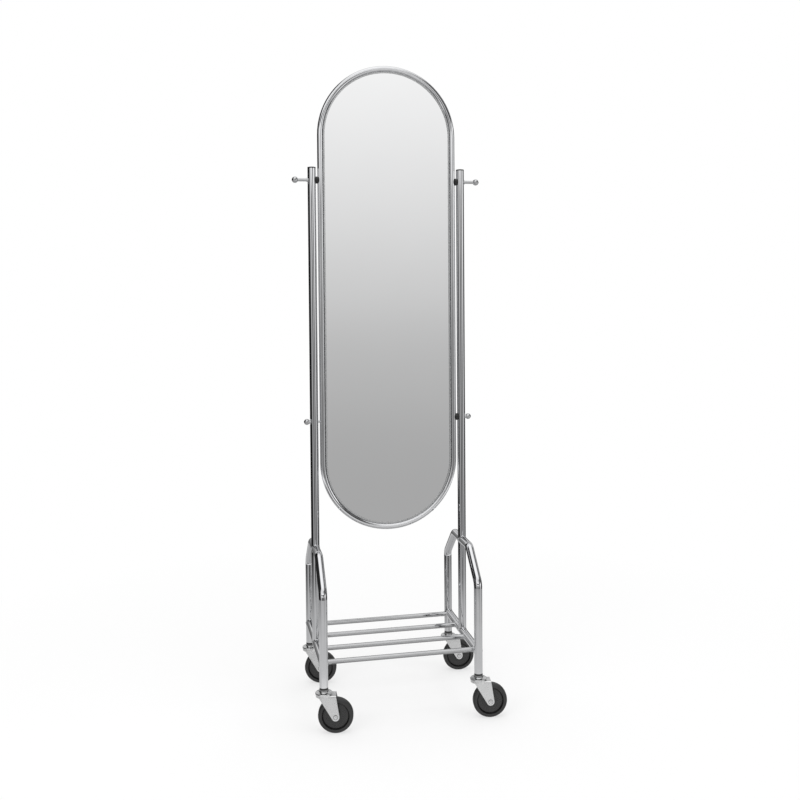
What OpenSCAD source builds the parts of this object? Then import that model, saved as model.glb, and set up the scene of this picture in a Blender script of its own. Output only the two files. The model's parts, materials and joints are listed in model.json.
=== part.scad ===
// Rolling floor mirror: a pill-shaped mirror held between two posts, which stand
// on two bent-tube arches with a rod shelf between them and a swivel caster under each leg.
// X runs across the mirror, the mirror faces -Y and Z is up.
// The origin is on the floor, midway between the four legs.

/* [Frame] */
// Distance between the two posts, centre to centre
frame_w = 412; // [380:2:460]
// Distance between a front leg and the back leg behind it, centre to centre
frame_d = 330; // [300:2:380]
// Outside diameter of posts, arches and side rails
tube_d = 22.2; // [21:0.1:24]
// Wall of posts, arches and side rails
tube_wall = 1.5; // [1.2:0.1:1.8]
// Height of the level top of each arch, at the middle of the tube
arch_z = 434; // [410:2:470]
// Height at which the legs bend into the sloping shoulders, at the middle of the tube
knee_z = 358; // [330:1:375]
// Bend radius at the knees, to the middle of the tube
knee_r = 28; // [20:1:40]
// Bend radius at the top corners, to the middle of the tube
corner_r = 28; // [20:1:40]
// Length of the posts above the upper pegs
post_above = 32.5; // [20:0.5:60]

/* [Shelf] */
// Height of the side rails and shelf rods, at the middle of the tube
rail_z = 175; // [160:1:220]
// Diameter of the shelf rods
rod_d = 13; // [10:0.5:16]
// Wall of the shelf rods
rod_wall = 1.2; // [1:0.1:1.6]
// Gap between a leg and the shelf rod next to it
rod_gap = 1.4; // [0.5:0.1:20]

/* [Mirror] */
// Height of the whole mirror over its rim
mirror_h = 1270; // [1200:5:1350]
// Height of the mirror's centre above the floor
mirror_z = 1110; // [1080:2:1160]
// Gap between a post and the rim
mirror_gap = 4.4; // [3:0.2:8]
// Diameter of the rim's round tube
rim_d = 16; // [14:0.5:19]
// Wall of the rim's tube
rim_wall = 1.2; // [1:0.1:1.5]
// Thickness of the glass
glass_t = 4; // [3:0.5:5]
// Thickness of the back panel
back_t = 3; // [2:0.5:4]
// Sheet thickness of the channel that holds the glass
channel_t = 1; // [0.8:0.1:1.2]
// How far the channel's front lip laps over the glass
lip_lap = 2.8; // [1.5:0.1:4]
// Gap between the edge of the glass and the channel
glass_gap = 0.2; // [0.1:0.1:0.5]

/* [Pegs] */
// Height of the upper pegs above the middle of the four fixings, and of the lower knobs below it
peg_rise = 326.5; // [280:0.5:360]
// How far the middle of the four fixings lies below the mirror's centre
peg_drop = 3.5; // [0:0.5:10]
// Distance from the post's axis to the centre of an upper peg's ball
peg_reach = 45; // [35:1:60]
// Diameter of an upper peg's ball
peg_ball_d = 17; // [14:0.5:22]
// Diameter of an upper peg's shank
peg_shank_d = 8.5; // [6.5:0.5:11]
// Diameter of the collar where a peg or knob meets its post
collar_d = 11.5; // [10:0.5:14]
// Diameter of a lower knob's ball
knob_ball_d = 16; // [12:0.5:20]
// Length of neck that shows between a post and its lower knob's ball
knob_gap = 0.5; // [0.2:0.1:8]
// Diameter of the neck of a lower knob
knob_neck_d = 10; // [7:0.5:12]
// Diameter of the studs that hold the mirror
stud_d = 6; // [5:0.5:6]
// Outside diameter of the threaded inserts in the rim
insert_d = 9; // [8:0.5:10]
// Length of the threaded inserts
insert_l = 10; // [8:0.5:11]
// Diameter of the black saddle bushes
bush_d = 19; // [14:0.5:21]
// How far a saddle bush reaches round the post and round the rim
bush_wrap = 2.6; // [2:0.2:4]

/* [Caster wheel] */
// Diameter of the wheels
wheel_d = 91; // [84:1:94]
// Width of the tyres
wheel_w = 22; // [20:1:26]
// Radius of the tyre's shoulders
shoulder_r = 6.5; // [2:0.5:8]
// Thickness of the tyre between its tread and the wheel's core
tyre_t = 10; // [8:0.5:12]
// How far the core's web lies behind the side of the tyre
web_in = 4.8; // [2:0.2:6]
// Width of the sloping wall between the web and the tyre
web_wall = 3.4; // [1:0.2:5]
// Diameter of the hub
hub_d = 22; // [18:1:26]
// How far the hub stands out past each side of the tyre
hub_out = 3.5; // [1.5:0.5:5]
// Diameter of the axle rivet
axle_d = 8; // [6:0.5:10]
// Diameter of the axle rivet's heads
axle_head_d = 12; // [11.5:0.5:14]

/* [Caster fork] */
// Distance from the swivel axis back to the axle
trail = 30; // [26:1:34]
// Sheet thickness of the fork
fork_t = 2.5; // [2:0.1:3]
// Gap between the hub and each side of the fork
fork_gap = 0.5; // [0.3:0.1:1]
// Radius of the rounded end of the fork's sides, round the axle
boss_r = 10; // [9:0.5:12]
// How far the top of the fork's sides reaches in front of the swivel axis
fork_front = 15; // [12:1:18]
// How far the top of the fork's sides reaches behind the swivel axis
fork_rear = 31.5; // [30:0.5:38]
// Width of the raised border round the pressed panel of the fork's sides
border = 2.8; // [2:0.2:4]
// Depth of the pressed panel
panel_in = 0.6; // [0.3:0.1:0.9]
// Space between the top of the tyre and the fork's crown
wheel_room = 7; // [6:1:14]

/* [Caster bearing] */
// Diameter of the caster's top race
race_d = 44.4; // [42:0.2:48]
// Diameter of the bearing balls
ball_d = 5; // [4:0.5:5.5]
// Diameter of the circle that the balls run on
ball_ring_d = 30; // [26:1:32]
// Number of balls in one bearing
ball_n = 14; // [8:1:14]
// Depth of the ball groove in each race
groove = 1; // [0.6:0.1:1.2]
// Diameter of the king pin
king_d = 10; // [8:0.5:12]
// Diameter of the stem in the socket sleeve
stem_d = 10; // [8:0.5:12]
// Height of the top race from its underside to the socket sleeve
race_h = 10; // [8:0.5:14]
// Thickness of the socket sleeve's flange under the leg
flange_t = 3.5; // [2:0.5:6]
// Length of the socket sleeve inside the leg
sleeve_l = 36; // [25:1:50]

/* [Fits] */
// Radial clearance of parts that turn on each other
running = 0.05; // [0.02:0.01:0.08]
// Radial clearance of studs, plugs and pressed parts
slip = 0.1; // [0.05:0.05:0.2]

/* [Hidden] */
$fn = 72;

chrome = [0.80, 0.81, 0.83];
zinc = [0.74, 0.75, 0.77];
black = [0.10, 0.10, 0.10];
rubber = [0.20, 0.20, 0.20];

// Frame
tube_r = tube_d / 2;
post_x = frame_w / 2;
leg_y = frame_d / 2;
bore_d = tube_d - 2 * tube_wall;
post_top = fixing(1) + post_above;
feather = 1.5; // a coped end stops this short of the tube's middle, so its edge isn't a knife
// The shoulders slope by 41 degrees, whose sine and cosine are short numbers
slope = atan2(0.658944, 0.752192);
rod_y = leg_y - tube_r - rod_gap - rod_d / 2;
rod_step = 2 * rod_y / 3;

// Mirror, with the pill's straight part between z = -pill_s and z = +pill_s
mirror_w = frame_w - tube_d - 2 * mirror_gap;
rim_r = rim_d / 2;
rim_c = mirror_w / 2 - rim_r;
pill_s = (mirror_h - mirror_w) / 2;
web_lap = 0.3; // the channel's web is cut to the rim's curve by this much
channel_r = rim_c - rim_r - channel_t;
layer_gap = 0.1;
lip_front = 5;
glass_front = lip_front - channel_t - layer_gap;
back_front = glass_front - glass_t - layer_gap;
tab_front = back_front - back_t - layer_gap;
tab_l = 14;
tab_w = 9;

// Studs run from outside the post into the inserts
stud_in = tube_r + mirror_gap + insert_l - 1;
knob_reach = tube_r + knob_gap + knob_ball_d / 2;
hole_d = stud_d + 2 * slip;
cap_rise = 1.6;
cap_edge = 1;
cap_seam = 0.8; // height and depth of the groove under the cap's edge
cap_plug = 12;

// Caster heights, from the floor up
wheel_r = wheel_d / 2;
hub_half = wheel_w / 2 + hub_out;
fork_in = hub_half + fork_gap;
fork_out = fork_in + fork_t;
crown_under = wheel_d + wheel_room;
crown_top = crown_under + fork_t;
ball_z = crown_top + ball_d / 2 - groove;
race_under = ball_z + ball_d / 2 - groove;
neck_top = race_under + race_h;
leg_bottom = neck_top + flange_t;
race_r = race_d / 2;
race_t = 1.8;
race_slope = 1.2;
race_lip_gap = 0.7;
race_over = 1.2; // the top race stands out past the crown by this much
neck_r = 11.5;
neck_cove = 2.5;
stem_short = 3;
crown_r = race_r - race_over;
skirt = 2.6;
fold_r = 4;
rivet_lip = 3;
rivet_r = king_d / 2 + rivet_lip;
rivet_t = 2;
rivet_gap = 0.3;

// Each caster: leg corner as [x side, y side], and the turn that it stands at
FRONT_LEFT = [-1, -1, -10];
FRONT_RIGHT = [1, -1, -8];
BACK_LEFT = [-1, 1, -12];
BACK_RIGHT = [1, 1, -5];

// Height of the upper (up = 1) or lower (up = -1) fixings
function fixing(up) = mirror_z - peg_drop + up * peg_rise;

// ---- shared shapes ----

module ring(d, wall) {
    difference() {
        circle(d = d);
        circle(d = d - 2 * wall);
    }
}

// Sweeps a section round a pill's outline: x is outwards from the outline, y to the front
module pill_sweep(c, s) {
    for (turn = [0, 180]) rotate([0, 0, turn]) {
        translate([0, s, 0]) rotate_extrude(angle = 180) translate([c, 0]) children();
        translate([c, s, 0]) rotate([90, 0, 0]) linear_extrude(2 * s) children();
    }
}

module pill(r, s) {
    square([2 * r, 2 * s], center = true);
    for (end = [-s, s]) translate([0, end]) circle(r = r);
}

// Stands a shape that was drawn flat upright in the mirror's place, its top face to the front
module in_mirror() {
    translate([0, 0, mirror_z]) rotate([90, 0, 0]) children();
}

// Lays a shape that was drawn along Z along X, its own X along Y
module along_x() {
    rotate([90, 0, 90]) children();
}

module cross_tube(z, l) {
    translate([0, 0, z]) rotate([90, 0, 0]) cylinder(d = tube_d, h = l, center = true);
}

// A tube from the origin along X that bends to its left: each run is its straight length,
// then the turn and the radius of the bend that follows it
module bent_tube(runs, i = 0) {
    long = runs[i][0];
    turn = runs[i][1];
    r = runs[i][2];
    along_x() linear_extrude(long) ring(tube_d, tube_wall);
    if (i < len(runs) - 1) translate([long, r, 0]) {
        rotate([0, 0, -90]) bend(r, turn);
        rotate([0, 0, turn]) translate([0, -r, 0]) bent_tube(runs, i + 1);
    }
}

module bend(r, turn) {
    wedge = 100;
    intersection() {
        rotate_extrude() translate([r, 0]) ring(tube_d, tube_wall);
        linear_extrude(2 * tube_d, center = true)
            polygon([[0, 0], [wedge, 0], [wedge * cos(turn), wedge * sin(turn)]]);
    }
}

// ---- mirror ----

module mirror_glass() {
    color([0.86, 0.88, 0.90]) in_mirror() translate([0, 0, glass_front - glass_t])
        linear_extrude(glass_t) pill(channel_r - glass_gap, pill_s);
}

module back_panel() {
    color([0.35, 0.35, 0.36]) in_mirror() translate([0, 0, back_front - back_t])
        linear_extrude(back_t) pill(channel_r - glass_gap, pill_s);
}

module mirror_rim() {
    color(chrome) difference() {
        in_mirror() pill_sweep(rim_c, pill_s) ring(rim_d, rim_wall);
        for (side = [-1, 1], up = [-1, 1])
            translate([side * rim_c, 0, fixing(up)])
                rotate([0, side * 90, 0]) cylinder(d = insert_d + 2 * slip, h = rim_r + 1);
    }
}

module channel_section() {
    difference() {
        union() {
            translate([-rim_r - channel_t, tab_front - channel_t])
                square([channel_t + web_lap, lip_front - tab_front + channel_t]);
            translate([-rim_r - channel_t - lip_lap, lip_front - channel_t])
                square([lip_lap + channel_t, channel_t]);
        }
        circle(r = rim_r);
    }
}

module glass_tab() {
    translate([channel_r - tab_w, -tab_l / 2, tab_front - channel_t])
        cube([tab_w + channel_t / 2, tab_l, channel_t]);
}

// A rolled channel welded inside the rim: its lip laps over the glass, its tabs fold over the back
module glass_channel() {
    color(chrome) in_mirror() {
        pill_sweep(rim_c, pill_s) channel_section();
        for (turn = [0, 180]) rotate([0, 0, turn]) {
            for (y = [-pill_s / 1.5, 0, pill_s / 1.5]) translate([0, y, 0]) glass_tab();
            for (a = [30 : 60 : 150]) translate([0, pill_s, 0]) rotate([0, 0, a]) glass_tab();
        }
    }
}

module rim_insert() {
    rotate([0, -90, 0]) difference() {
        cylinder(d = insert_d, h = insert_l);
        translate([0, 0, -1]) cylinder(d = hole_d, h = insert_l + 2);
    }
}

module rim_inserts() {
    nose = 2; // length of insert that is trimmed to the rim's curve
    color(zinc) for (side = [0, 180], up = [-1, 1])
        translate([0, 0, fixing(up)]) rotate([0, 0, side])
            difference() {
                translate([rim_c + rim_r, 0, 0]) rim_insert();
                difference() {
                    translate([rim_c + rim_r - nose, -insert_d, -insert_d])
                        cube([nose + 1, 2 * insert_d, 2 * insert_d]);
                    translate([rim_c, 0, -insert_d - 1])
                        cylinder(r = rim_r, h = 2 * insert_d + 2);
                }
            }
}

// ---- posts ----

module post() {
    foot = arch_z + feather;
    difference() {
        translate([0, 0, foot]) linear_extrude(post_top - foot) ring(tube_d, tube_wall);
        cross_tube(arch_z, 2 * tube_d);
        for (up = [-1, 1]) translate([0, 0, fixing(up)])
            rotate([0, 90, 0]) cylinder(d = hole_d, h = 2 * tube_d, center = true);
    }
}

module lower_post() {
    foot = rail_z + feather;
    difference() {
        translate([0, 0, foot]) linear_extrude(arch_z - feather - foot) ring(tube_d, tube_wall);
        cross_tube(arch_z, 2 * tube_d);
        cross_tube(rail_z, 2 * tube_d);
    }
}

// A low dome over a narrow seam, on a plug that sits in the post's bore
module post_cap() {
    dome_r = (tube_r * tube_r + cap_rise * cap_rise) / (2 * cap_rise);
    edge_top = cap_seam + cap_edge;
    translate([0, 0, post_top]) {
        translate([0, 0, -cap_plug]) cylinder(d = bore_d - 2 * slip, h = cap_plug);
        cylinder(d = tube_d - 2 * cap_seam, h = cap_seam);
        translate([0, 0, cap_seam]) cylinder(d = tube_d, h = cap_edge);
        intersection() {
            translate([0, 0, edge_top]) cylinder(d = tube_d, h = cap_rise + 1);
            translate([0, 0, edge_top + cap_rise - dome_r]) sphere(r = dome_r, $fn = 180);
        }
    }
}

module at_side(side) {
    translate([side * post_x, 0, 0]) children();
}

// ---- arches, rails and shelf ----

// Each half runs from the middle of the top down to the end of a leg
module side_arch() {
    corner_cut = corner_r * tan(slope / 2);
    knee_cut = knee_r * tan((90 - slope) / 2);
    shoulder = (arch_z - knee_z) / sin(slope);
    flat = leg_y - shoulder * cos(slope);
    runs = [[flat - corner_cut, slope, corner_r],
        [shoulder - corner_cut - knee_cut, 90 - slope, knee_r],
        [knee_z - knee_cut - leg_bottom, 0, 0]];
    for (end = [0, 1]) mirror([0, end, 0])
        translate([0, 0, arch_z]) rotate([-90, 0, 90]) bent_tube(runs);
}

module side_rail() {
    difference() {
        translate([0, leg_y - feather, rail_z]) rotate([90, 0, 0])
            linear_extrude(frame_d - 2 * feather) ring(tube_d, tube_wall);
        for (end = [-1, 1]) translate([0, end * leg_y, rail_z - tube_d])
            cylinder(d = tube_d, h = 2 * tube_d);
    }
}

module shelf_rod(i) {
    color(chrome) translate([0, rod_y - i * rod_step, rail_z]) difference() {
        translate([-post_x + rod_d / 4, 0, 0]) along_x()
            linear_extrude(frame_w - rod_d / 2) ring(rod_d, rod_wall);
        for (side = [-1, 1]) translate([side * post_x, 0, 0])
            rotate([90, 0, 0]) cylinder(d = tube_d, h = 2 * rod_d, center = true);
    }
}

// ---- pegs, knobs and bushes ----

module stud() {
    translate([-stud_in, 0, 0]) rotate([0, 90, 0]) cylinder(d = stud_d, h = stud_in + tube_r);
}

module collar(d, end) {
    difference() {
        rotate([0, 90, 0]) cylinder(d = d, h = end);
        translate([0, 0, -d]) cylinder(d = tube_d, h = 2 * d);
    }
}

module coat_peg() {
    collar_out = 2.2;
    collar(collar_d, tube_r + collar_out);
    collar(peg_shank_d, peg_reach);
    translate([peg_reach, 0, 0]) sphere(d = peg_ball_d);
    stud();
}

module lower_knob() {
    collar(knob_neck_d, knob_reach);
    translate([knob_reach, 0, 0]) sphere(d = knob_ball_d);
    stud();
}

module saddle_bush() {
    start = tube_r - bush_wrap;
    difference() {
        translate([-start, 0, 0]) rotate([0, -90, 0])
            cylinder(d = bush_d, h = mirror_gap + 2 * bush_wrap);
        translate([0, 0, -bush_d]) cylinder(d = tube_d, h = 2 * bush_d);
        translate([-post_x + rim_c, 0, -bush_d]) cylinder(d = rim_d, h = 2 * bush_d);
        rotate([0, 90, 0]) cylinder(d = hole_d, h = 8 * tube_d, center = true);
    }
}

// Places a piece drawn for the right post, its outer side along +X, at a post and a height
module on_post(side, up) {
    translate([side * post_x, 0, fixing(up)])
        rotate([0, 0, side > 0 ? 0 : 180]) children();
}

// ---- casters, drawn round the swivel axis with the wheel trailing to +X ----

module at_caster(corner) {
    translate([corner[0] * post_x, corner[1] * leg_y, 0]) rotate([0, 0, corner[2]]) children();
}

module at_axle() {
    translate([trail, 0, wheel_r]) rotate([90, 0, 0]) children();
}

module socket_sleeve() {
    color(black) difference() {
        union() {
            translate([0, 0, neck_top]) cylinder(d = tube_d, h = flange_t);
            translate([0, 0, leg_bottom]) cylinder(d = bore_d - 2 * slip, h = sleeve_l);
        }
        translate([0, 0, neck_top - 1])
            cylinder(d = stem_d + 2 * slip, h = flange_t + sleeve_l - 1);
    }
}

// Stem, neck, dished race and riveted king pin in one
module top_race() {
    edge = race_r - race_t;
    lip_under = crown_top + race_lip_gap;
    rivet_top = crown_under - rivet_gap;
    stem_top = leg_bottom + sleeve_l - stem_short;
    slope_z = race_under + race_t + race_slope;
    color(zinc) rotate_extrude() difference() {
        union() {
            translate([0, rivet_top - rivet_t]) square([rivet_r, rivet_t]);
            translate([0, rivet_top]) square([king_d / 2, race_under - rivet_top]);
            polygon([[0, race_under], [edge, race_under], [edge, race_under + race_t],
                [neck_r + neck_cove, slope_z], [0, slope_z]]);
            translate([edge, lip_under]) square([race_t, race_under - lip_under]);
            translate([edge, race_under]) circle(r = race_t, $fn = 48);
            translate([0, slope_z]) square([neck_r, neck_top - slope_z]);
            difference() {
                translate([neck_r, slope_z]) square(neck_cove);
                translate([neck_r + neck_cove, slope_z + neck_cove]) circle(r = neck_cove);
            }
            translate([0, neck_top]) square([stem_d / 2, stem_top - neck_top]);
        }
        translate([ball_ring_d / 2, ball_z]) circle(r = ball_d / 2 + slip, $fn = 48);
    }
}

module bearing_balls() {
    color([0.9, 0.9, 0.9]) for (i = [0 : ball_n - 1]) rotate([0, 0, i * 360 / ball_n])
        translate([ball_ring_d / 2, 0, ball_z]) sphere(d = ball_d, $fn = 32);
}

// An upside-down U with rounded folds
module folded(half, top, r) {
    translate([-half, 0]) square([2 * half, top - r]);
    translate([r - half, 0]) square([2 * (half - r), top]);
    for (side = [-1, 1]) translate([side * (half - r), top - r]) circle(r = r, $fn = 48);
}

// Where a line from a point outside touches a circle
function touch(from, centre, r, way) =
    let (v = from - centre, a = atan2(v[1], v[0]) + way * acos(r / norm(v)))
    centre + r * [cos(a), sin(a)];

// Side outline of the fork: straight edges that run onto a round boss
module fork_side(front, rear, top, r) {
    hub = [trail, wheel_r];
    polygon([[-front, top], [rear, top], touch([rear, top], hub, r, -1), hub,
        touch([-front, top], hub, r, 1)]);
    translate(hub) circle(r = r);
}

module crown_disc() {
    cylinder(r = crown_r, h = fork_t);
    translate([0, 0, -skirt]) difference() {
        cylinder(r = crown_r, h = skirt);
        translate([0, 0, -1]) cylinder(r = crown_r - fork_t, h = skirt + 2);
        translate([0, -fork_in, -1]) cube([crown_r + 1, 2 * fork_in, skirt + 2]);
    }
}

module fork() {
    reach = max(fork_rear, trail + boss_r) + 1;
    color(zinc) difference() {
        union() {
            intersection() {
                translate([-crown_r, 0, 0]) along_x() linear_extrude(crown_r + reach)
                    difference() {
                        folded(fork_out, crown_top, fold_r);
                        translate([0, -1]) folded(fork_in, crown_under + 1, fold_r - fork_t);
                    }
                rotate([90, 0, 0]) linear_extrude(4 * fork_out, center = true)
                    fork_side(fork_front, fork_rear, crown_top, boss_r);
            }
            translate([0, 0, crown_under]) crown_disc();
        }
        // pressed panel on both sides, with the boss left proud round the rivet
        for (side = [-1, 1]) translate([0, side * (fork_out + 1 - panel_in), 0])
            rotate([90, 0, 0]) linear_extrude(2, center = true) difference() {
                fork_side(fork_front - 2 * border, fork_rear - border, crown_under - skirt,
                    boss_r - border);
                translate([trail, wheel_r]) circle(r = boss_r);
            }
        translate([0, 0, crown_under - skirt - 1])
            cylinder(d = king_d + 2 * running, h = fork_t + skirt + 2);
        translate([0, 0, ball_z]) rotate_extrude()
            translate([ball_ring_d / 2, 0]) circle(r = ball_d / 2 + slip, $fn = 48);
        at_axle() cylinder(d = axle_d + 2 * slip, h = 4 * fork_out, center = true);
    }
}

// A rivet with dimpled heads outside the fork
module axle() {
    head_t = 1.4;
    dimple_in = 1;
    dimple_r = axle_d / 2;
    color(zinc) at_axle() difference() {
        union() {
            cylinder(d = axle_d, h = 2 * fork_out, center = true);
            for (side = [0, 180]) rotate([side, 0, 0]) translate([0, 0, fork_out])
                cylinder(d = axle_head_d, h = head_t);
        }
        for (side = [-1, 1]) translate([0, 0, side * (fork_out + head_t + dimple_r - dimple_in)])
            sphere(r = dimple_r);
    }
}

// A dished disc: a flat web, a wall that slopes out to the tyre's side, and the hub
module wheel_core() {
    core_r = wheel_r - tyre_t - slip;
    web_r = core_r - web_wall;
    half = wheel_w / 2;
    web = half - web_in;
    color(black) at_axle() rotate_extrude($fn = 120) difference() {
        union() {
            polygon([[0, -web], [web_r, -web], [core_r, -half], [core_r, half], [web_r, web],
                [0, web]]);
            translate([0, -hub_half]) square([hub_d / 2, 2 * hub_half]);
        }
        translate([-1, -hub_half - 1]) square([axle_d / 2 + running + 1, 2 * hub_half + 2]);
    }
}

module tyre() {
    core_r = wheel_r - tyre_t;
    flat = wheel_r - shoulder_r;
    half = wheel_w / 2;
    color(rubber) at_axle() rotate_extrude($fn = 120) difference() {
        union() {
            translate([core_r, -half]) square([flat - core_r, wheel_w]);
            translate([core_r, -half + shoulder_r]) square([tyre_t, wheel_w - 2 * shoulder_r]);
            for (side = [-1, 1]) translate([flat, side * (half - shoulder_r)])
                circle(r = shoulder_r, $fn = 48);
        }
        translate([0, -half - 1]) square([core_r, wheel_w + 2]);
    }
}

// ---- pieces ----

mirror_glass();
mirror_rim();
glass_channel();
back_panel();
rim_inserts();
color(chrome) at_side(-1) post();  // left_post
color(chrome) at_side(1) post();  // right_post
color(chrome) at_side(-1) post_cap();  // left_post_cap
color(chrome) at_side(1) post_cap();  // right_post_cap
color(chrome) at_side(-1) side_arch();  // left_arch
color(chrome) at_side(1) side_arch();  // right_arch
color(chrome) at_side(-1) lower_post();  // left_lower_post
color(chrome) at_side(1) lower_post();  // right_lower_post
color(chrome) at_side(-1) side_rail();  // left_side_rail
color(chrome) at_side(1) side_rail();  // right_side_rail
shelf_rod(0);  // shelf_rod_1
shelf_rod(1);  // shelf_rod_2
shelf_rod(2);  // shelf_rod_3
shelf_rod(3);  // shelf_rod_4
color(chrome) on_post(-1, 1) coat_peg();  // left_peg
color(chrome) on_post(1, 1) coat_peg();  // right_peg
color(chrome) on_post(-1, -1) lower_knob();  // left_knob
color(chrome) on_post(1, -1) lower_knob();  // right_knob
color(black) on_post(-1, 1) saddle_bush();  // upper_left_bush
color(black) on_post(1, 1) saddle_bush();  // upper_right_bush
color(black) on_post(1, -1) saddle_bush();  // lower_right_bush

at_caster(FRONT_LEFT) socket_sleeve();  // front_left_sleeve
at_caster(FRONT_RIGHT) socket_sleeve();  // front_right_sleeve
at_caster(BACK_LEFT) socket_sleeve();  // back_left_sleeve
at_caster(BACK_RIGHT) socket_sleeve();  // back_right_sleeve
at_caster(FRONT_LEFT) top_race();  // front_left_top_race
at_caster(FRONT_RIGHT) top_race();  // front_right_top_race
at_caster(BACK_LEFT) top_race();  // back_left_top_race
at_caster(BACK_RIGHT) top_race();  // back_right_top_race
at_caster(FRONT_LEFT) bearing_balls();  // front_left_balls
at_caster(FRONT_RIGHT) bearing_balls();  // front_right_balls
at_caster(BACK_LEFT) bearing_balls();  // back_left_balls
at_caster(BACK_RIGHT) bearing_balls();  // back_right_balls
at_caster(FRONT_LEFT) fork();  // front_left_fork
at_caster(FRONT_RIGHT) fork();  // front_right_fork
at_caster(BACK_LEFT) fork();  // back_left_fork
at_caster(BACK_RIGHT) fork();  // back_right_fork
at_caster(FRONT_LEFT) axle();  // front_left_axle
at_caster(FRONT_RIGHT) axle();  // front_right_axle
at_caster(BACK_LEFT) axle();  // back_left_axle
at_caster(BACK_RIGHT) axle();  // back_right_axle
at_caster(FRONT_LEFT) wheel_core();  // front_left_core
at_caster(FRONT_RIGHT) wheel_core();  // front_right_core
at_caster(BACK_LEFT) wheel_core();  // back_left_core
at_caster(BACK_RIGHT) wheel_core();  // back_right_core
at_caster(FRONT_LEFT) tyre();  // front_left_tyre
at_caster(FRONT_RIGHT) tyre();  // front_right_tyre
at_caster(BACK_LEFT) tyre();  // back_left_tyre
at_caster(BACK_RIGHT) tyre();  // back_right_tyre
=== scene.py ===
import json
import math
import random
import bpy
import bmesh
from mathutils import Matrix, Vector


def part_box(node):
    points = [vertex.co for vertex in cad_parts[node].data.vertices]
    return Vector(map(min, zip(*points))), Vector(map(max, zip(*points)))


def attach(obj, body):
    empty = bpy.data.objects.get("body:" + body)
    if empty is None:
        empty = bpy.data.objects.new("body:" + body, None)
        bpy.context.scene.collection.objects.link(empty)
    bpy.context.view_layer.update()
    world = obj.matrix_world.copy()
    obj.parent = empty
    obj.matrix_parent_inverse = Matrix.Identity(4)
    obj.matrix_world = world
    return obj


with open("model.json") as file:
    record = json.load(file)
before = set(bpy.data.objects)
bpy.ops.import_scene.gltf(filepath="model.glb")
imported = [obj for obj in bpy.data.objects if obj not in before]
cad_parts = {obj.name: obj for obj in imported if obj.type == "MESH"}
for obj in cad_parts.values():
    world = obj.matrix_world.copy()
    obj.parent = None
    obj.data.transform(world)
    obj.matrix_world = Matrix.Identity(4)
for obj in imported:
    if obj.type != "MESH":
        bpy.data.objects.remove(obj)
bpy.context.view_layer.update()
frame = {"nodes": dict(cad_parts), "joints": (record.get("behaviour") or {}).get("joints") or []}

print("frame loaded:", len(frame["nodes"]), "pieces")

# camera, fitted to the outlines of posts, legs, rods and wheels
cameraView = {
    "place": (-0.4953, -2.6598, 1.1514),
    "turn": 0.21151,      # radians to the right of straight ahead
    "dip": 0.031465,      # radians down
    "roll": -0.0070439,
    "lens": 44.336,       # millimetres, for a sensor of this width
    "sensor": 36,
    "shift": (-0.01875, -0.1063),
    "near": 0.05,
    "far": 60,
}


def placeCamera(v):
    ahead = Vector((math.sin(v["turn"]), math.cos(v["turn"]), 0))
    side = Vector((math.cos(v["turn"]), -math.sin(v["turn"]), 0))
    up = Vector((0, 0, 1))
    look = ahead * math.cos(v["dip"]) - up * math.sin(v["dip"])
    top = up * math.cos(v["dip"]) + ahead * math.sin(v["dip"])
    right = side * math.cos(v["roll"]) + top * math.sin(v["roll"])
    top = top * math.cos(v["roll"]) - side * math.sin(v["roll"])
    data = bpy.data.cameras.new("photoCamera")
    data.lens = v["lens"]
    data.sensor_width = v["sensor"]
    data.shift_x, data.shift_y = v["shift"]
    data.clip_start = v["near"]
    data.clip_end = v["far"]
    cam = bpy.data.objects.new("photoCamera", data)
    bpy.context.scene.collection.objects.link(cam)
    turn = Matrix((right, top, -look)).transposed().to_4x4()
    cam.matrix_world = Matrix.Translation(v["place"]) @ turn
    bpy.context.scene.camera = cam


placeCamera(cameraView)
print("camera placed")


# small helpers for node materials and the studio's light

def feed(tree, value, socket):
    # joins another node's output to a socket, or sets the socket to a plain value
    if isinstance(value, bpy.types.NodeSocket):
        tree.links.new(value, socket)
    else:
        socket.default_value = value


def newMaterial(name):
    mat = bpy.data.materials.new(name)
    mat.use_nodes = True
    tree = mat.node_tree
    tree.nodes.clear()
    out = tree.nodes.new("ShaderNodeOutputMaterial")
    shader = tree.nodes.new("ShaderNodeBsdfPrincipled")
    tree.links.new(shader.outputs[0], out.inputs[0])
    return mat, tree, shader


def ownPlace(tree, stretch=(1, 1, 1)):
    # the piece's own coordinates in metres, stretched where the grain runs along it
    coord = tree.nodes.new("ShaderNodeTexCoord")
    mapping = tree.nodes.new("ShaderNodeMapping")
    mapping.inputs["Scale"].default_value = stretch
    tree.links.new(coord.outputs["Object"], mapping.inputs["Vector"])
    return mapping.outputs["Vector"]


def noiseFrom(tree, place, scale, detail=3, roughness=0.5):
    noise = tree.nodes.new("ShaderNodeTexNoise")
    noise.inputs["Scale"].default_value = scale
    noise.inputs["Detail"].default_value = detail
    noise.inputs["Roughness"].default_value = roughness
    tree.links.new(place, noise.inputs["Vector"])
    return noise.outputs["Fac"]


def spread(tree, value, low, high, start=0.3, end=0.7, smooth=False):
    node = tree.nodes.new("ShaderNodeMapRange")
    if smooth:
        node.interpolation_type = "SMOOTHSTEP"
    node.inputs["From Min"].default_value = start
    node.inputs["From Max"].default_value = end
    node.inputs["To Min"].default_value = low
    node.inputs["To Max"].default_value = high
    tree.links.new(value, node.inputs["Value"])
    return node.outputs["Result"]


def colourBetween(tree, value, dark, light, start=0.3, end=0.7):
    ramp = tree.nodes.new("ShaderNodeValToRGB")
    ramp.color_ramp.elements[0].position = start
    ramp.color_ramp.elements[0].color = (*dark, 1)
    ramp.color_ramp.elements[1].position = end
    ramp.color_ramp.elements[1].color = (*light, 1)
    tree.links.new(value, ramp.inputs["Fac"])
    return ramp.outputs["Color"]


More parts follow.
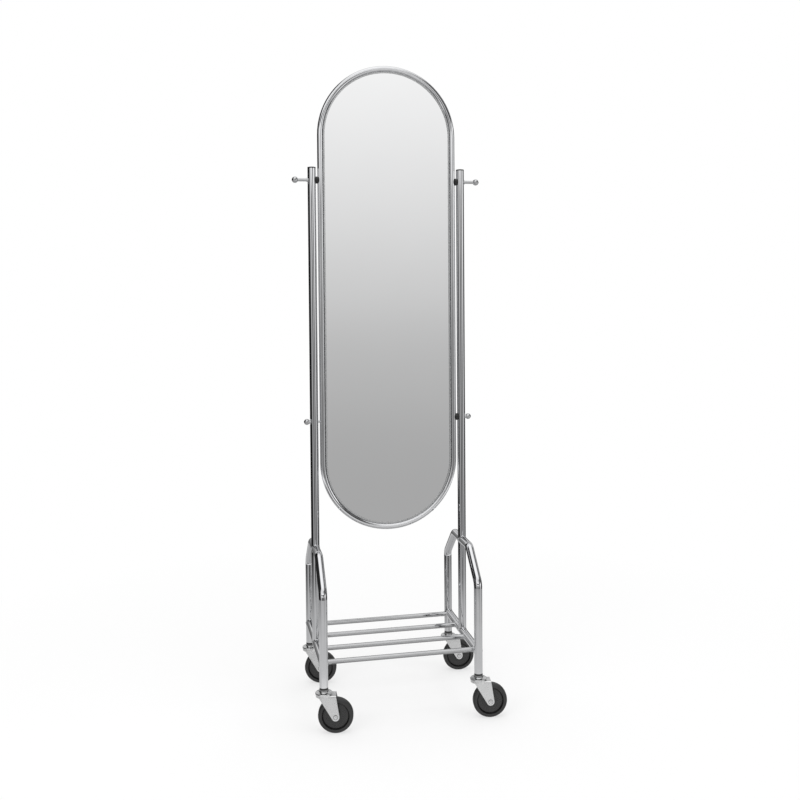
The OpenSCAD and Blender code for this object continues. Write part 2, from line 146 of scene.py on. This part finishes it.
def reckon(tree, kind, *values):
    # one math node, each value another node's output or a plain number
    node = tree.nodes.new("ShaderNodeMath")
    node.operation = kind
    for value, socket in zip(values, node.inputs):
        feed(tree, value, socket)
    return node.outputs[0]


def reckonVector(tree, kind, *values):
    # the same for vectors; a length comes out as a number
    node = tree.nodes.new("ShaderNodeVectorMath")
    node.operation = kind
    for value, socket in zip(values, node.inputs):
        feed(tree, value, socket)
    return node.outputs["Value" if kind == "LENGTH" else "Vector"]


def splitVector(tree, vector):
    node = tree.nodes.new("ShaderNodeSeparateXYZ")
    tree.links.new(vector, node.inputs[0])
    return node.outputs


def mixColour(tree, cover, under, over, kind="MIX"):
    node = tree.nodes.new("ShaderNodeMix")
    node.data_type = "RGBA"
    node.blend_type = kind
    feed(tree, cover, node.inputs[0])
    feed(tree, under, node.inputs[6])
    feed(tree, over, node.inputs[7])
    return node.outputs[2]


def mixShader(tree, cover, under, over):
    node = tree.nodes.new("ShaderNodeMixShader")
    tree.links.new(cover, node.inputs[0])
    tree.links.new(under, node.inputs[1])
    tree.links.new(over, node.inputs[2])
    return node.outputs[0]


def bandBetween(tree, value, low, high, fade):
    # 1 between two values and 0 outside them
    past = spread(tree, value, 0, 1, low - fade, low + fade)
    before = spread(tree, value, 1, 0, high - fade, high + fade)
    return reckon(tree, "MULTIPLY", past, before)


def bumpFrom(tree, height, strength, distance):
    bump = tree.nodes.new("ShaderNodeBump")
    bump.inputs["Strength"].default_value = strength
    bump.inputs["Distance"].default_value = distance
    tree.links.new(height, bump.inputs["Height"])
    return bump.outputs["Normal"]


def darkened(mat, cover, tone):
    # multiplies a finish's colour by tone where cover is 1
    tree = mat.node_tree
    shader = [n for n in tree.nodes if n.type == "BSDF_PRINCIPLED"][0]
    plain = shader.inputs["Base Color"].links[0].from_socket
    colour = mixColour(tree, cover, plain, (tone, tone, tone, 1), "MULTIPLY")
    tree.links.new(colour, shader.inputs["Base Color"])
    return mat


def dress(material, *nodes):
    for name in nodes:
        mesh = frame["nodes"][name].data
        mesh.materials.clear()
        mesh.materials.append(material)


corners = ("front_left", "front_right", "back_left", "back_right")


def atCorners(piece):
    return [corner + "_" + piece for corner in corners]


# chrome: a clear plate over polished tube, with faint clouds, wipe marks and a slow ripple

chromeWear = {"cloudScale": 22, "cloudDetail": 4, "wipeScale": 160, "wipeDetail": 3}
postChrome = {"dark": (0.80, 0.805, 0.82), "light": (0.86, 0.865, 0.88),
              "rough": (0.015, 0.045), "ripple": 0.0001, "rippleScale": 6, "along": (1, 1, 0.25)}
archChrome = {"dark": (0.80, 0.805, 0.82), "light": (0.86, 0.865, 0.88),
              "rough": (0.02, 0.06), "ripple": 0.00012, "rippleScale": 9, "along": (1, 1, 1)}
# the rods' chrome is darker than the rest: painted shade standing in for the darker surroundings
# the rods reflect
rodChromePaintedShade = {"dark": (0.56, 0.564, 0.572), "light": (0.62, 0.624, 0.632),
             "rough": (0.02, 0.05), "ripple": 0.00006, "rippleScale": 10, "along": (0.3, 1, 1)}
rimChrome = {"dark": (0.82, 0.825, 0.84), "light": (0.88, 0.885, 0.9),
             "rough": (0.015, 0.04), "ripple": 0.00006, "rippleScale": 6, "along": (1, 1, 1)}
# the pegs' and knobs' chrome is darker than the rest too: painted shade standing in for their
# darker reflections
pegChromePaintedShade = {"dark": (0.62, 0.624, 0.632), "light": (0.68, 0.684, 0.692),
             "rough": (0.015, 0.04), "ripple": 0.00003, "rippleScale": 30, "along": (1, 1, 1)}
turnedChrome = {"dark": (0.80, 0.805, 0.82), "light": (0.86, 0.865, 0.88),
                "rough": (0.015, 0.04), "ripple": 0.00003, "rippleScale": 30, "along": (1, 1, 1)}


def chromeFinish(name, v):
    mat, tree, shader = newMaterial(name)
    shader.inputs["Metallic"].default_value = 1
    place = ownPlace(tree, v["along"])
    cloud = noiseFrom(tree, place, chromeWear["cloudScale"], chromeWear["cloudDetail"])
    wipe = noiseFrom(tree, place, chromeWear["wipeScale"], chromeWear["wipeDetail"])
    ripple = noiseFrom(tree, place, v["rippleScale"], 1)
    tree.links.new(colourBetween(tree, cloud, v["dark"], v["light"]), shader.inputs["Base Color"])
    tree.links.new(spread(tree, wipe, *v["rough"]), shader.inputs["Roughness"])
    tree.links.new(bumpFrom(tree, ripple, 1, v["ripple"]), shader.inputs["Normal"])
    return mat


# painted shade where a tube ends on a cap or a sleeve, standing in for the shadow in the seam's
# gap: metres below and above a tube's end, the blur of the shade's edges, and how much of the
# metal's own colour is left there
capPaintedShade = {"below": 0.0011, "above": 0.0025, "fade": 0.0003, "tone": 0.08}
footPaintedShade = {"below": 0.001, "above": 0.0012, "fade": 0.0003, "tone": 0.2}
neckPaintedShade = {"below": 0.0045, "above": 0.001, "fade": 0.0008, "tone": 0.35}


def paintedShadeBand(mat, height, v):
    # paints shade into the finish's colour in a band round the given height
    tree = mat.node_tree
    place = splitVector(tree, ownPlace(tree))
    cover = bandBetween(tree, place["Z"], height - v["below"], height + v["above"], v["fade"])
    return darkened(mat, cover, v["tone"])


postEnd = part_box("left_post")[1][2]
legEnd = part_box("left_arch")[0][2]
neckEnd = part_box("front_left_sleeve")[0][2]

# posts and caps get painted shade at the post's top end, the arches at the legs' feet
dress(paintedShadeBand(chromeFinish("postChrome", postChrome), postEnd, capPaintedShade),
      "left_post", "right_post", "left_lower_post", "right_lower_post")
dress(paintedShadeBand(chromeFinish("archChrome", archChrome), legEnd, footPaintedShade),
      "left_arch", "right_arch", "left_side_rail", "right_side_rail")
dress(paintedShadeBand(chromeFinish("capChrome", turnedChrome), postEnd, capPaintedShade),
      "left_post_cap", "right_post_cap")
dress(chromeFinish("rodChromePaintedShade", rodChromePaintedShade),
      "shelf_rod_1", "shelf_rod_2", "shelf_rod_3", "shelf_rod_4")
dress(chromeFinish("rimChrome", rimChrome), "mirror_rim")
dress(chromeFinish("pegChromePaintedShade", pegChromePaintedShade), "left_peg", "right_peg", "left_knob", "right_knob")
print("chrome done")

# welds, ground smooth and plated over: a small bead along each line where two tubes meet
weldBead = {"radius": 0.0013, "uneven": 0.12, "steps": 72, "sides": 10,
            "waves": 4, "waveTurns": (3, 11), "waveShare": (0.4, 1)}
# where the tubes stand that the beads run round, and how thick they are
weldPlace = {"postX": 0.206, "legY": 0.165, "archZ": 0.434, "railZ": 0.175,
             "tubeRadius": 0.0111, "rodRadius": 0.0065}


def beadAlong(name, points, v, seed, finish):
    # a closed bead swept along a ring of points, a little uneven as a hand weld is
    rng = random.Random(seed)
    waves = [(rng.randint(*v["waveTurns"]), rng.uniform(0, math.tau),
              rng.uniform(*v["waveShare"])) for _ in range(v["waves"])]
    total = sum(wave[2] for wave in waves)
    work = bmesh.new()
    rings = []
    count = len(points)
    centre = sum(points, Vector()) / count
    for i, point in enumerate(points):
        ahead = (points[(i + 1) % count] - points[i - 1]).normalized()
        out = point - centre
        out = (out - ahead * out.dot(ahead)).normalized()
        up = ahead.cross(out)
        turn = math.tau * i / count
        swell = sum(w[2] * math.sin(w[0] * turn + w[1]) for w in waves) / total
        radius = v["radius"] * (1 + v["uneven"] * swell)
        rings.append([work.verts.new(point + radius * (out * math.cos(a) + up * math.sin(a)))
                      for a in (math.tau * k / v["sides"] for k in range(v["sides"]))])
    for i in range(count):
        near, far = rings[i], rings[(i + 1) % count]
        for k in range(v["sides"]):
            m = (k + 1) % v["sides"]
            work.faces.new((near[k], far[k], far[m], near[m]))
    bmesh.ops.recalc_face_normals(work, faces=work.faces)
    mesh = bpy.data.meshes.new(name)
    work.to_mesh(mesh)
    work.free()
    for face in mesh.polygons:
        face.use_smooth = True
    bead = bpy.data.objects.new(name, mesh)
    bpy.context.scene.collection.objects.link(bead)
    mesh.materials.append(finish)
    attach(bead, "frame")


def tubeOnTube(centre, axis, way, v, steps):
    # where a tube along way ends on a tube of the same size along axis
    side = axis.cross(way)
    radius = v["tubeRadius"]
    ring = []
    for i in range(steps):
        a = math.tau * i / steps
        reach = radius * abs(math.cos(a))
        ring.append(centre + radius * (axis * math.cos(a) + side * math.sin(a)) + way * reach)
    return ring


def rodOnTube(centre, way, v, steps):
    # where a thin rod along way ends on a rail along Y
    ring = []
    for i in range(steps):
        a = math.tau * i / steps
        high = v["rodRadius"] * math.sin(a)
        reach = math.sqrt(v["tubeRadius"] ** 2 - high ** 2)
        ring.append(centre + Vector((0, v["rodRadius"] * math.cos(a), high)) + way * reach)
    return ring


def weldFrame(v, bead, finish):
    alongY, upward = Vector((0, 1, 0)), Vector((0, 0, 1))
    steps = bead["steps"]
    rodY = []
    for n in (1, 2, 3, 4):
        low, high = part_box("shelf_rod_%d" % n)
        rodY.append((low[1] + high[1]) / 2)
    for side, label in ((-1, "left"), (1, "right")):
        top = Vector((side * v["postX"], 0, v["archZ"]))
        rail = Vector((side * v["postX"], 0, v["railZ"]))
        joints = {
            "post_weld": tubeOnTube(top, alongY, upward, v, steps),
            "lower_post_top_weld": tubeOnTube(top, alongY, -upward, v, steps),
            "lower_post_foot_weld": tubeOnTube(rail, alongY, upward, v, steps),
            "front_rail_weld": tubeOnTube(rail - alongY * v["legY"], upward, alongY, v, steps),
            "back_rail_weld": tubeOnTube(rail + alongY * v["legY"], upward, -alongY, v, steps),
        }
        inward = Vector((-side, 0, 0))
        for n, y in enumerate(rodY):
            joints["rod_weld_%d" % (n + 1)] = rodOnTube(rail + alongY * y, inward, v, steps)
        for n, (name, ring) in enumerate(joints.items()):
            beadAlong(label + "_" + name, ring, bead, 10 * n + side, finish)


weldFrame(weldPlace, weldBead, chromeFinish("weldChrome", turnedChrome))
print("welds done")


# mirror: silvered glass in front, a fibre board behind it

mirrorGlass = {"silver": (0.905, 0.907, 0.91), "haze": 1.015, "hazeScale": 3.5, "hazeDetail": 3,
               "rough": (0.004, 0.012), "wipeScale": 40, "wipeDetail": 4,
               "edge": (0.10, 0.20, 0.17), "backPaint": (0.16, 0.17, 0.18), "facing": 0.5}


def mirrorFinish(v):
    # silver seen through the front face, green ground glass round the edge, grey paint behind
    mat, tree, shader = newMaterial("mirrorGlass")
    geometry = tree.nodes.new("ShaderNodeNewGeometry")
    facing = splitVector(tree, geometry.outputs["True Normal"])["Y"]
    front = reckon(tree, "LESS_THAN", facing, -v["facing"])
    back = reckon(tree, "GREATER_THAN", facing, v["facing"])
    place = ownPlace(tree)
    haze = noiseFrom(tree, place, v["hazeScale"], v["hazeDetail"])
    wipe = noiseFrom(tree, place, v["wipeScale"], v["wipeDetail"])
    silver = colourBetween(tree, haze, v["silver"], [c * v["haze"] for c in v["silver"]])
    behind = mixColour(tree, back, (*v["edge"], 1), (*v["backPaint"], 1))
    tree.links.new(mixColour(tree, front, behind, silver), shader.inputs["Base Color"])
    tree.links.new(front, shader.inputs["Metallic"])
    tree.links.new(spread(tree, wipe, *v["rough"]), shader.inputs["Roughness"])
    return mat


dress(mirrorFinish(mirrorGlass), "mirror_glass")

backBoard = {"dark": (0.035, 0.035, 0.037), "light": (0.06, 0.06, 0.062),
             "rough": (0.55, 0.75), "along": (1, 1, 0.35), "fibreScale": 240, "fibreDetail": 5,
             "fibreRoughness": 0.6, "bump": 0.35, "depth": 0.0003}


def boardFinish(v):
    mat, tree, shader = newMaterial("backBoard")
    place = ownPlace(tree, v["along"])
    fibre = noiseFrom(tree, place, v["fibreScale"], v["fibreDetail"], v["fibreRoughness"])
    tree.links.new(colourBetween(tree, fibre, v["dark"], v["light"]), shader.inputs["Base Color"])
    tree.links.new(spread(tree, fibre, *v["rough"]), shader.inputs["Roughness"])
    tree.links.new(bumpFrom(tree, fibre, v["bump"], v["depth"]), shader.inputs["Normal"])
    return mat


dress(boardFinish(backBoard), "back_panel")
print("mirror done")


# casters: zinc-plated pressings, black mouldings

zincWear = {"cloudScale": 55, "detail": 4, "roughness": 0.6, "bump": 0.6}
forkZinc = {"dark": (0.86, 0.862, 0.864), "light": (0.92, 0.922, 0.924), "rough": (0.26, 0.32),
            "grain": 0.00001, "grainScale": 420}
raceZinc = {"dark": (0.74, 0.745, 0.75), "light": (0.86, 0.865, 0.87), "rough": (0.13, 0.2),
            "grain": 0.00003, "grainScale": 500}
rivetZinc = {"dark": (0.86, 0.865, 0.87), "light": (0.95, 0.952, 0.955), "rough": (0.24, 0.34),
             "grain": 0.00003, "grainScale": 500}
channelSteel = {"dark": (0.66, 0.665, 0.67), "light": (0.76, 0.765, 0.77), "rough": (0.24, 0.34),
                "grain": 0.00002, "grainScale": 600}

# painted shade in the turned steps of a wheel, round the rivet's head and on the core's recess
# wall: a darker ring, in metres from the axle
rivetPaintedShade = {"from": 0.0049, "to": 0.0075, "fade": 0.0003, "tone": 0.3}
coreWallPaintedShade = {"from": 0.0325, "to": 0.04, "fade": 0.0005, "tone": 0.2}


def paintedShadeRing(mat, corner, v):
    # paints shade onto a finish between two distances from the corner's own axle
    tree = mat.node_tree
    roll = [j for j in frame["joints"] if j["name"] == corner + "_roll"][0]
    low, high = (Vector(end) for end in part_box(corner + "_axle"))
    fromHub = reckonVector(tree, "SUBTRACT", ownPlace(tree), (low + high) / 2)
    turned = reckonVector(tree, "CROSS_PRODUCT", fromHub, roll["axis"])
    away = reckonVector(tree, "LENGTH", turned)
    return darkened(mat, bandBetween(tree, away, v["from"], v["to"], v["fade"]), v["tone"])


def zincFinish(name, v):
    mat, tree, shader = newMaterial(name)
    shader.inputs["Metallic"].default_value = 1
    place = ownPlace(tree)
    wear = zincWear
    cloud = noiseFrom(tree, place, wear["cloudScale"], wear["detail"], wear["roughness"])
    grain = noiseFrom(tree, place, v["grainScale"], wear["detail"], wear["roughness"])
    tree.links.new(colourBetween(tree, cloud, v["dark"], v["light"]), shader.inputs["Base Color"])
    tree.links.new(spread(tree, grain, *v["rough"]), shader.inputs["Roughness"])
    tree.links.new(bumpFrom(tree, grain, wear["bump"], v["grain"]), shader.inputs["Normal"])
    return mat


dress(zincFinish("forkZinc", forkZinc), *atCorners("fork"), "rim_inserts")
# the race gets painted shade on its neck just under the sleeve
dress(paintedShadeBand(zincFinish("raceZinc", raceZinc), neckEnd, neckPaintedShade),
      *atCorners("top_race"), *atCorners("balls"))
dress(zincFinish("channelSteel", channelSteel), "glass_channel")
for corner in corners:
    dress(paintedShadeRing(zincFinish(corner + "RivetZinc", rivetZinc), corner, rivetPaintedShade),
          corner + "_axle")

mouldWear = {"cloudScale": 38, "cloudDetail": 4, "cloudRoughness": 0.6, "grainDetail": 3,
             "bump": 0.5}
sleevePlastic = {"dark": (0.009, 0.009, 0.009), "light": (0.015, 0.015, 0.015),
                 "rough": (0.3, 0.42), "grain": 0.00008, "grainScale": 900}
corePlastic = {"dark": (0.026, 0.026, 0.026), "light": (0.034, 0.034, 0.034),
               "rough": (0.22, 0.34), "grain": 0.00004, "grainScale": 700}
tyreRubber = {"dark": (0.026, 0.026, 0.026), "light": (0.036, 0.036, 0.036),
              "rough": (0.3, 0.44), "grain": 0.00006, "grainScale": 520}


def mouldedFinish(name, v):
    mat, tree, shader = newMaterial(name)
    place = ownPlace(tree)
    wear = mouldWear
    cloud = noiseFrom(tree, place, wear["cloudScale"], wear["cloudDetail"], wear["cloudRoughness"])
    grain = noiseFrom(tree, place, v["grainScale"], wear["grainDetail"])
    tree.links.new(colourBetween(tree, cloud, v["dark"], v["light"]), shader.inputs["Base Color"])
    tree.links.new(spread(tree, grain, *v["rough"]), shader.inputs["Roughness"])
    tree.links.new(bumpFrom(tree, grain, wear["bump"], v["grain"]), shader.inputs["Normal"])
    return mat


dress(mouldedFinish("sleevePlastic", sleevePlastic), *atCorners("sleeve"),
      "upper_left_bush", "upper_right_bush", "lower_right_bush")
dress(mouldedFinish("tyreRubber", tyreRubber), *atCorners("tyre"))
for corner in corners:
    dress(paintedShadeRing(mouldedFinish(corner + "CorePlastic", corePlastic), corner, coreWallPaintedShade),
          corner + "_core")
print("casters done")


# studio: a pale floor that runs into white

# near the object the camera sees the floor and its shadow through a thin white veil, and from
# fadeFrom to fadeTo, in metres, the veil thickens to plain white
floorLook = {"colour": (0.93, 0.93, 0.93), "rough": 0.9, "half": 12, "squares": 24,
             "veil": 0.6, "fadeFrom": 0.35, "fadeTo": 1.7}


def layFloor(v):
    mesh = bpy.data.meshes.new("studioFloor")
    work = bmesh.new()
    bmesh.ops.create_grid(work, x_segments=v["squares"], y_segments=v["squares"],
                          size=v["half"])
    work.to_mesh(mesh)
    work.free()
    floor = bpy.data.objects.new("studioFloor", mesh)
    bpy.context.scene.collection.objects.link(floor)
    mat, tree, shader = newMaterial("studioFloor")
    surface = shader.outputs[0].links[0].to_socket
    shader.inputs["Base Color"].default_value = (*v["colour"], 1)
    shader.inputs["Roughness"].default_value = v["rough"]
    shader.inputs["Specular IOR Level"].default_value = 0
    white = tree.nodes.new("ShaderNodeEmission")
    white.inputs["Color"].default_value = (1, 1, 1, 1)
    geometry = tree.nodes.new("ShaderNodeNewGeometry")
    away = reckonVector(tree, "LENGTH", geometry.outputs["Position"])
    veil = spread(tree, away, v["veil"], 1, v["fadeFrom"], v["fadeTo"])
    rays = tree.nodes.new("ShaderNodeLightPath")
    cover = reckon(tree, "MULTIPLY", veil, rays.outputs["Is Camera Ray"])
    tree.links.new(mixShader(tree, cover, shader.outputs[0], white.outputs[0]), surface)
    mesh.materials.append(mat)
    floor.visible_glossy = False


layFloor(floorLook)

# what polished metal sees: a sweep that brightens from the floor up to the ceiling, listed as
# height of the direction and brightness
studioSweep = [(-1, 0.42), (-0.8, 0.42), (-0.62, 0.42), (-0.5, 0.48), (-0.38, 0.57), (-0.33, 0.54),
               (-0.28, 0.46), (-0.23, 0.42), (-0.1, 0.5), (0, 0.66), (0.1, 0.82), (0.2, 0.96),
               (0.35, 1.15), (0.7, 0.82), (1, 1.15)]

# boards hung in front of the sweep. turn is the middle, in degrees to the right of straight in
# front, half and soft are half the width and the blur of its ends, low, high and fade are the
# same for height, and light is how much of the sweep's light is left there
studioBoards = {
    "leftFlag": {"turn": -110, "half": 40, "soft": 5, "low": -0.3, "high": 0.88,
                 "fade": 0.05, "light": 0.02},
    "leftGrey": {"turn": -66, "half": 11, "soft": 5, "low": -0.3, "high": 0.5,
                 "fade": 0.08, "light": 0.38},
    "leftPanel": {"turn": -40, "half": 14, "soft": 6, "low": -0.25, "high": 0.5,
                  "fade": 0.1, "light": 0.85},
    "cameraStand": {"turn": -14, "half": 11, "soft": 4, "low": -0.3, "high": 0.1,
                    "fade": 0.015, "light": 0.06},
    "rightSlot": {"turn": 27, "half": 10.5, "soft": 2, "low": -0.3, "high": 0.4,
                  "fade": 0.06, "light": 0.05},
    "rightPanel": {"turn": 50, "half": 14, "soft": 5, "low": -0.25, "high": 0.6,
                   "fade": 0.1, "light": 1.35},
    "rightFlag": {"turn": 93, "half": 23, "soft": 7, "low": -0.3, "high": 0.78,
                  "fade": 0.06, "light": 0.12},
    "backWall": {"turn": 170, "half": 56, "soft": 10, "low": -0.3, "high": 0.25,
                 "fade": 0.05, "light": 0.3},
    "frontGap": {"turn": 4, "half": 50, "soft": 10, "low": 0.245, "high": 0.37,
                 "fade": 0.02, "light": 0.04},
    "rearGap": {"turn": 180, "half": 60, "soft": 12, "low": 0.55, "high": 0.8,
                "fade": 0.05, "light": 0.35},
    "rearGrey": {"turn": 180, "half": 60, "soft": 12, "low": 0.28, "high": 0.52,
                 "fade": 0.03, "light": 0.5},
    "upperRightFlag": {"turn": 52, "half": 26, "soft": 8, "low": 0.3, "high": 0.74,
                       "fade": 0.05, "light": 0.12},
    "lowerLeftFlag": {"turn": -54, "half": 24, "soft": 8, "low": -0.7, "high": -0.45,
                      "fade": 0.03, "light": 0.3},
    "nearFloor": {"turn": 0, "half": 70, "soft": 20, "low": -0.53, "high": -0.385,
                  "fade": 0.02, "light": 1.95},
}
skyLevel = 0.75      # what everything but metal sees


def rampFrom(tree, value, points, low, high):
    # a smooth curve through the points
    node = tree.nodes.new("ShaderNodeFloatCurve")
    curve = node.mapping.curves[0]
    top = max(p[1] for p in points)
    spots = [((p[0] - low) / (high - low), p[1] / top) for p in points]
    while len(curve.points) < len(spots):
        curve.points.new(0.5, 0.5)
    for point, spot in zip(curve.points, sorted(spots)):
        point.location = spot
        point.handle_type = "AUTO_CLAMPED"
    node.mapping.update()
    tree.links.new(spread(tree, value, 0, 1, low, high), node.inputs["Value"])
    return reckon(tree, "MULTIPLY", node.outputs[0], top)


def boardLight(tree, turn, height, v):
    # 1 beside the board, and the board's own light on it
    away = reckon(tree, "WRAP", reckon(tree, "SUBTRACT", turn, v["turn"]), 180, -180)
    away = reckon(tree, "ABSOLUTE", away)
    across = spread(tree, away, 1, 0, v["half"] - v["soft"], v["half"] + v["soft"], True)
    above = spread(tree, height, 0, 1, v["low"] - v["fade"], v["low"] + v["fade"], True)
    below = spread(tree, height, 1, 0, v["high"] - v["fade"], v["high"] + v["fade"], True)
    cover = reckon(tree, "MULTIPLY", reckon(tree, "MULTIPLY", across, above), below)
    return spread(tree, cover, 1, v["light"], 0, 1)


def lightStudio(sweep, boards, level):
    world = bpy.data.worlds.new("studio")
    bpy.context.scene.world = world
    world.use_nodes = True
    tree = world.node_tree
    tree.nodes.clear()
    out = tree.nodes.new("ShaderNodeOutputWorld")
    coord = tree.nodes.new("ShaderNodeTexCoord")
    way = splitVector(tree, coord.outputs["Generated"])
    seen = rampFrom(tree, way["Z"], sweep, -1, 1)
    front = reckon(tree, "MULTIPLY", way["Y"], -1)
    turn = reckon(tree, "DEGREES", reckon(tree, "ARCTAN2", way["X"], front))
    for board in boards.values():
        seen = reckon(tree, "MULTIPLY", seen, boardLight(tree, turn, way["Z"], board))

    def background(strength):
        node = tree.nodes.new("ShaderNodeBackground")
        node.inputs["Color"].default_value = (1, 1, 1, 1)
        feed(tree, strength, node.inputs["Strength"])
        return node.outputs[0]

    rays = tree.nodes.new("ShaderNodeLightPath").outputs
    inMetal = mixShader(tree, rays["Is Glossy Ray"], background(level), background(seen))
    shown = mixShader(tree, rays["Is Camera Ray"], inMetal, background(1))
    tree.links.new(shown, out.inputs[0])


lightStudio(studioSweep, studioBoards, skyLevel)

softBoxes = [
    {"name": "topBox", "place": (0, -0.2, 3.4), "aim": (0, 0, 0.4), "size": 2.6, "power": 34},
    {"name": "leftBox", "place": (-2.6, -2.2, 2.2), "aim": (0, 0, 0.6), "size": 1.8, "power": 22},
    {"name": "rightBox", "place": (2.8, -1.8, 1.8), "aim": (0, 0, 0.5), "size": 1.6, "power": 12},
]


def hangBox(v):
    data = bpy.data.lights.new(v["name"], "AREA")
    data.size = v["size"]
    data.energy = v["power"]
    lamp = bpy.data.objects.new(v["name"], data)
    bpy.context.scene.collection.objects.link(lamp)
    lamp.location = v["place"]
    beam = Vector(v["aim"]) - Vector(v["place"])
    lamp.rotation_euler = beam.to_track_quat("-Z", "Y").to_euler()
    lamp.visible_glossy = False


for box in softBoxes:
    hangBox(box)
bpy.context.scene.view_settings.view_transform = "Standard"
print("studio done")
